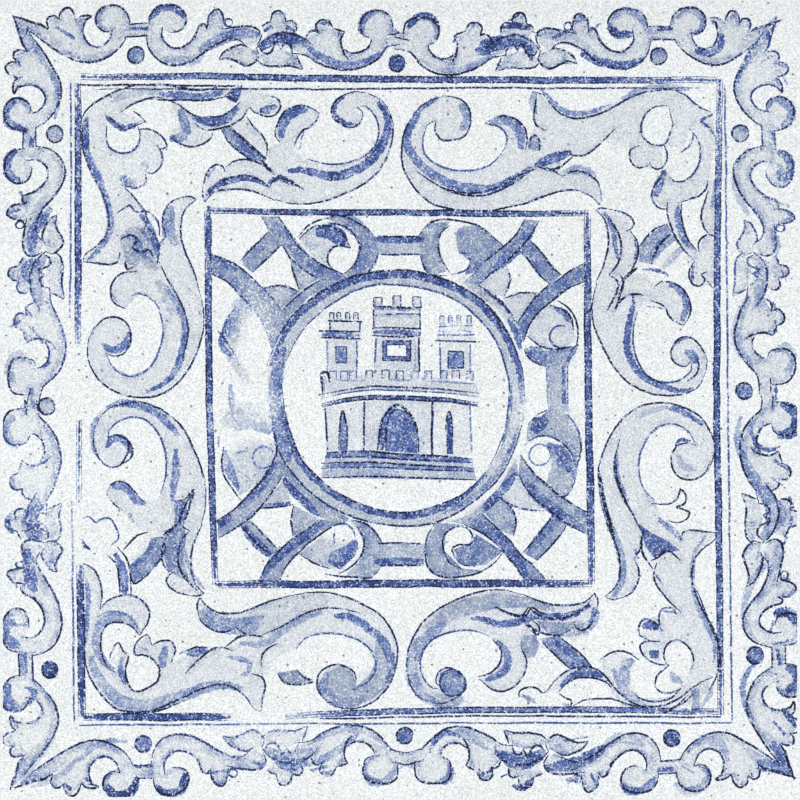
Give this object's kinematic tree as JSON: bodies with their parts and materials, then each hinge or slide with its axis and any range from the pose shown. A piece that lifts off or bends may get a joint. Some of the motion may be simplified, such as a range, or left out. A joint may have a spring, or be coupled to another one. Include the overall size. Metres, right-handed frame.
{
  "type": "porcelain tile",
  "caption": "Square glazed porcelain tile with a worn blue and white scrollwork print, eased edges and a ribbed keying back.",
  "frame": {"origin": "middle of the back, on the plane of the rib tops, which the tile rests on", "axes": "+Z out of the glazed face, +Y towards the top of the printed picture, +X to its right"},
  "size_m": [0.45, 0.45, 0.01],
  "materials": {
    "glazed_porcelain": "satin glaze over an off-white body, printed in cobalt blue and worn"
  },
  "bodies": {
    "root": {"porcelain_tile": "glazed_porcelain"}
  },
  "joints": []
}
